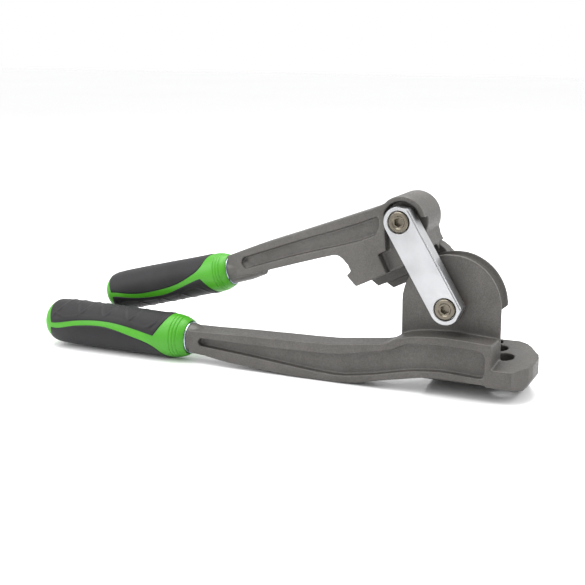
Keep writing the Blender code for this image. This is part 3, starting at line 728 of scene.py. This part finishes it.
# ================================================================== cast looks
def cast_skin(ob, voxel, rounds):
    """Even skin with softened edges and corners, as a die casting leaves the mould."""
    bake(ob)
    m = ob.modifiers.new("skin", 'REMESH')
    m.mode = 'VOXEL'
    m.voxel_size = voxel
    m.use_smooth_shade = True
    s = ob.modifiers.new("soften", 'SMOOTH')
    s.factor = 0.5
    s.iterations = rounds
    bpy.context.view_layer.update()
    me = bpy.data.meshes.new_from_object(ob.evaluated_get(bpy.context.evaluated_depsgraph_get()))
    ob.modifiers.clear()
    ob.data = me
    me.materials.clear()
    me.materials.append(MATS["casting"])
    me.shade_smooth()
    return ob


cast_skin(frame, 0.42, 4)
cast_skin(lever, 0.42, 4)

# ================================================================== link plate
la = math.atan2(PIN_C[1], PIN_C[0])
reach = math.hypot(*PIN_C)


def on_link(across, along):
    """across to the right of the line from lower to upper pivot, along it from the lower pivot."""
    return (math.cos(la) * along + math.sin(la) * across, math.sin(la) * along - math.cos(la) * across)


def rounded(pts, r, n=5):
    out = []
    k = len(pts)
    for i in range(k):
        p = Vector(pts[i])
        a = (Vector(pts[i - 1]) - p)
        b = (Vector(pts[(i + 1) % k]) - p)
        ang = a.angle(b)
        t = min(r / math.tan(ang / 2), a.length * 0.45, b.length * 0.45)
        p0, p1 = p + a.normalized() * t, p + b.normalized() * t
        for j in range(n + 1):
            s = j / n
            q = p0 * (1 - s) ** 2 + p * 2 * s * (1 - s) + p1 * s * s
            out.append((q.x, q.y))
    return out


foot_arc = [(7.5 * math.cos(math.radians(t)), 7.5 * math.sin(math.radians(t))) for t in range(-72, -181, -9)]
top_arc = [(7.5 * math.cos(math.radians(t)), reach + 7.5 * math.sin(math.radians(t))) for t in range(180, 71, -9)]
outline = [(7.8, -3.3)] + foot_arc + top_arc + [(7.8, reach + 3.0)]
link = plate("link_plate", [on_link(*p) for p in rounded(outline, 0.9)], 0.02, LINK_T, PARTS, "plate")
bevel(link, 0.55, 50, 3)
bake(link)
crease = rod("link_crease", 0.34, P(on_link(7.05, -12)[0], 0.06, on_link(7.05, -12)[1]),
             P(on_link(7.05, reach + 12)[0], 0.06, on_link(7.05, reach + 12)[1]), n=12)
cut(link, crease)
bake(link)
for nm, (cx, cw) in (("lower", (0, 0)), ("upper", PIN_C)):
    lb = rod("link_bore_" + nm, LINK_BORE_R, P(cx, -5, cw), P(cx, 12, cw), n=96)
    lc = turned("link_counterbore_" + nm, [(0, 5), (HEAD_BORE_R + 0.45, 5), (HEAD_BORE_R + 0.45, 0.0), (HEAD_BORE_R, -0.45),
                                           (HEAD_BORE_R, -2.5), (0, -2.5)], P(cx, 0, cw), (0, -1, 0), steps=96)
    join(lb, lc)
    bake(lb)
    cut(link, lb)
    bake(link)
smooth(link, 30)


# ================================================================== grips
def lerp(table, s):
    """Smooth curve through the table's points."""
    if s <= table[0][0]:
        return table[0][1]
    n = len(table)
    for i in range(n - 1):
        (s0, v0), (s1, v1) = table[i], table[i + 1]
        if s <= s1:
            w = s1 - s0
            sl = (v1 - v0) / w
            m0 = sl if i == 0 else (v1 - table[i - 1][1]) / (s1 - table[i - 1][0])
            m1 = sl if i == n - 2 else (table[i + 2][1] - v0) / (table[i + 2][0] - s0)
            f = (s - s0) / w
            return (v0 * (2 * f ** 3 - 3 * f * f + 1) + m0 * w * (f ** 3 - 2 * f * f + f)
                    + v1 * (3 * f * f - 2 * f ** 3) + m1 * w * (f ** 3 - f * f))
    return table[-1][1]


PROFILE = flow([(9.0, 2.7), (10.0, 4.3), (11.1, 7.4), (11.6, 10.2), (11.7, 11.5), (11.75, 16.0), (11.7, 21.0), (11.75, 30.0),
                (11.9, 42.0), (12.05, 58.0), (12.1, 72.0), (12.0, 83.0), (11.5, 89.0), (10.2, 92.8), (7.6, 95.3),
                (4.0, 96.5)], 8)
PROFILE_S = [(s, r) for r, s in PROFILE]


def radius(s):
    if s <= PROFILE_S[0][0]:
        return PROFILE_S[0][1]
    for (s0, r0), (s1, r1) in zip(PROFILE_S, PROFILE_S[1:]):
        if s <= s1:
            return r0 + (r1 - r0) * (s - s0) / max(1e-6, s1 - s0)
    return PROFILE_S[-1][1]


EDGES = {  # stripe edges, degrees toward the finger side at stations along the grip
    "lower": ([(13.0, 6.0), (20.0, 6.0), (32.0, 16.0), (44.0, 24.0), (53.0, 26.0), (62.0, 24.0), (72.0, 18.0), (85.0, 6.0),
               (92.0, 4.0)],
              [(12.0, -88.0), (15.0, -58.0), (21.0, -22.0), (35.0, 0.0), (53.0, 15.0), (71.0, 8.5), (84.0, -5.0), (92.0, -6.0)]),
    "upper": ([(13.0, 0.0), (22.0, 2.0), (32.0, 12.0), (49.0, 29.0), (65.0, 27.0), (76.0, 18.0), (86.0, 7.0), (92.0, 5.0)],
              [(14.0, -88.0), (19.0, -34.0), (28.0, -8.0), (42.0, 10.0), (64.0, 15.0), (76.0, 8.0), (86.0, -3.0), (92.0, -5.0)]),
}


def skin_grid(name, point, nu, nv, body_mat, close=False):
    bm = bmesh.new()
    rows = [[bm.verts.new(point(i / (nu - 1), j / (nv if close else nv - 1))) for j in range(nv)] for i in range(nu)]
    for i in range(nu - 1):
        for j in range(nv if close else nv - 1):
            k = (j + 1) % nv
            bm.faces.new((rows[i][j], rows[i + 1][j], rows[i + 1][k], rows[i][k]))
    bmesh.ops.recalc_face_normals(bm, faces=bm.faces)
    me = bpy.data.meshes.new(name)
    bm.to_mesh(me)
    bm.free()
    ob = mesh_object(name, me, PARTS, body_mat)
    me.shade_smooth()
    return ob


def grip_looks(nm, o, d, k, total, r_tube, finger_up):
    side = Vector((0, -1, 0))
    up = side.cross(d)
    if up.z < 0:
        up = -up
    if not finger_up:
        up = -up

    def at(s, psi, r):
        a = math.radians(psi)
        return o + d * (s * total / 98.0) + (side * math.cos(a) + up * math.sin(a)) * (r * k)

    # green core: a turned shell with a lip at the collar and a closed end
    prof = [(r_tube / k + 0.25, 14.0), (r_tube / k + 0.25, 3.4), (r_tube / k + 0.45, 2.8)] \
        + [(r, s) for r, s in PROFILE] + [(1.8, 96.8), (0.02, 96.85)]

    dense = []
    for (r0, s0), (r1, s1) in zip(prof, prof[1:]):
        steps = 6 if 5.0 < 0.5 * (s0 + s1) < 14.0 and r0 > 9.0 else 1
        dense += [(r0 + (r1 - r0) * i / steps, s0 + (s1 - s0) * i / steps) for i in range(steps)]
    dense.append(prof[-1])

    def core_point(u, v):
        r, s = dense[min(int(round(u * (len(dense) - 1))), len(dense) - 1)]
        if r > r_tube / k + 1.0:
            for c in (6.6, 8.5, 10.4):
                r -= 0.34 * math.exp(-((s - c) / 0.34) ** 2)
        return at(s, v * 360.0, r)

    core = skin_grid(nm + "_grip_core", core_point, len(dense), 96, "green", close=True)

    def pad(tag, s0, s1, edge, flip, lift, slant=0.0, bow=0.0):
        def pt(u, v):
            lean = 4.0 * v * (1.0 - v)
            s = (s0 - slant * lean) + (s1 + bow * lean - s0 + slant * lean) * u
            e = lerp(edge, s0 + (s1 - s0) * u)
            a0, a1 = (e, 180.0 - e) if not flip else (180.0 - e, 360.0 + e)
            psi = a0 + (a1 - a0) * v
            r = radius(s)
            arc_mm = math.radians(min(psi - a0, a1 - psi)) * r
            end_mm = min(u, 1.0 - u) * (s1 - s0)
            gap = min(arc_mm, end_mm)
            h = lift * min(1.0, max(0.0, gap / 0.9)) ** 0.5 - (0.45 if gap < 0.02 else 0.0)
            if not flip and gap > 2.2:
                y = math.radians(psi - 90.0) * r
                soft = min(1.0, (gap - 2.2) / 1.5)
                ridge = 0.0
                for c in (30.0, 46.0, 62.0, 78.0, 94.0):
                    dist = math.hypot(s - c, y * 0.92)
                    ridge = max(ridge, math.exp(-((dist - 13.0) / 0.8) ** 2))
                h += (0.30 * ridge - 0.22) * soft
            return at(s, psi, r + h)
        return skin_grid("%s_%s_pad" % (nm, tag), pt, 220 if not flip else 130, 120 if not flip else 72, "black")

    finger = pad("finger", 20.5, 88.8, EDGES[nm][0], False, 0.38, 7.0, 3.2)
    palm = pad("palm", 13.0, 89.4, EDGES[nm][1], True, 0.34, 0.0, 2.6)

    tube = turned(nm + "_handle_tube", [(r_tube - 1.1, 79.0 * k), (r_tube, 79.0 * k), (r_tube + 0.18, 2.6), (r_tube + 0.02, 1.9),
                                        (r_tube - 0.32, 1.9), (r_tube - 0.32, 6.0), (r_tube - 1.1, 12.0),
                                        (r_tube - 1.1, 79.0 * k)], o, d, PARTS, "tube", steps=72)
    smooth(tube)
    return core, finger, palm, tube


grip_looks("lower", LG0, LGD, 1.0, 94.5, 8.35, True)
grip_looks("upper", UG0, UGD, 0.89, 84.1, 7.55, False)

# ================================================================== to metres, and onto the bodies
NODES = {
    "frame": ["former_frame", "lower_pivot_screw", "lower_thrust_washer", "lower_nut_washer", "lower_lock_nut",
              "lower_handle_tube", "lower_grip_core", "lower_finger_pad", "lower_palm_pad"],
    "link": ["link_plate", "lower_pivot_bush", "upper_pivot_bush"],
    "lever": ["shoe_lever", "upper_pivot_screw", "upper_thrust_washer", "upper_nut_washer", "upper_lock_nut",
              "upper_handle_tube", "upper_grip_core", "upper_finger_pad", "upper_palm_pad"],
}
SLOT = {"former_frame": "casting", "shoe_lever": "casting", "link_plate": "plate"}
for ob in list(CUTS.objects):
    bpy.data.objects.remove(ob, do_unlink=True)
bpy.data.collections.remove(CUTS)
for ob in PARTS.objects:
    ob.data.transform(Matrix.Scale(0.001, 4))
for body, nodes in NODES.items():
    for node in nodes:
        ob = bpy.data.objects["vis_" + node]
        slot = SLOT.get(node)
        if slot is None:
            for key, val in (("screw", "screw"), ("bush", "bronze"), ("thrust", "bronze"), ("nut", "plate"), ("tube", "tube"),
                             ("core", "green"), ("pad", "black")):
                if key in node:
                    slot = val
                    break
        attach(ob, body)
        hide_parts(node)

# ================================================================== stage
def floor_mat():
    m, nt, b, co = new_mat("studio_floor")
    n = noise(nt, co, 3.0, 2.0)
    nt.links.new(ramp(nt, n, [(0.3, (0.93, 0.93, 0.94)), (0.7, (0.95, 0.95, 0.955))]), b.inputs["Base Color"])
    b.inputs["Roughness"].default_value = 0.22
    b.inputs["Specular IOR Level"].default_value = 0.35
    return m


bm = bmesh.new()
bmesh.ops.create_grid(bm, x_segments=8, y_segments=8, size=3.0)
me = bpy.data.meshes.new("floor")
bm.to_mesh(me)
bm.free()
floor = bpy.data.objects.new("floor", me)
me.materials.append(floor_mat())
bpy.context.scene.collection.objects.link(floor)
floor.location = (0, 0, -0.0002)
floor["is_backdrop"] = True

world = bpy.data.worlds.new("studio")
bpy.context.scene.world = world
world.use_nodes = True
bg = world.node_tree.nodes["Background"]
bg.inputs["Color"].default_value = (1.0, 1.0, 1.0, 1)
bg.inputs["Strength"].default_value = 1.0


def area(name, loc, target, size, power, colour=(1, 1, 1)):
    li = bpy.data.lights.new(name, 'AREA')
    li.shape = 'RECTANGLE'
    li.size, li.size_y = size
    li.energy = power
    li.color = colour
    ob = bpy.data.objects.new(name, li)
    bpy.context.scene.collection.objects.link(ob)
    ob.location = loc
    ob.rotation_euler = (Vector(target) - Vector(loc)).to_track_quat('-Z', 'Y').to_euler()
    return ob


area("key_top", (-0.10, 0.05, 0.75), (0, 0, 0.03), (0.9, 0.6), 9.0)
area("key_left", (-0.65, -0.45, 0.45), (0, 0, 0.04), (0.5, 0.6), 4.0)
area("rim_right", (0.60, 0.25, 0.35), (0.05, 0, 0.05), (0.35, 0.5), 3.0)

AZ, EL, ROLL = math.radians(25.6104), math.radians(12.9708), math.radians(-0.2574)
fwd = Vector((-math.sin(AZ) * math.cos(EL), math.cos(AZ) * math.cos(EL), -math.sin(EL)))
rt = Vector((math.cos(AZ), math.sin(AZ), 0))
u0 = rt.cross(fwd)
right_v = rt * math.cos(ROLL) + u0 * math.sin(ROLL)
up_v = u0 * math.cos(ROLL) - rt * math.sin(ROLL)
cam = bpy.data.cameras.new("camera")
cam.sensor_width = 36.0
cam.lens = 1200.0 / 585.0 * 36.0
cam.clip_start = 0.02
cam.clip_end = 20.0
co = bpy.data.objects.new("camera", cam)
bpy.context.scene.collection.objects.link(co)
place = P(174.289, -530.630, 136.414) * 0.001
rot = Matrix((right_v, up_v, -fwd)).transposed()
co.matrix_world = Matrix.Translation(place) @ rot.to_4x4()
bpy.context.scene.camera = co
bpy.context.scene.view_settings.view_transform = 'Standard'

{"before": BOX_BEFORE, "after": plain(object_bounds())}
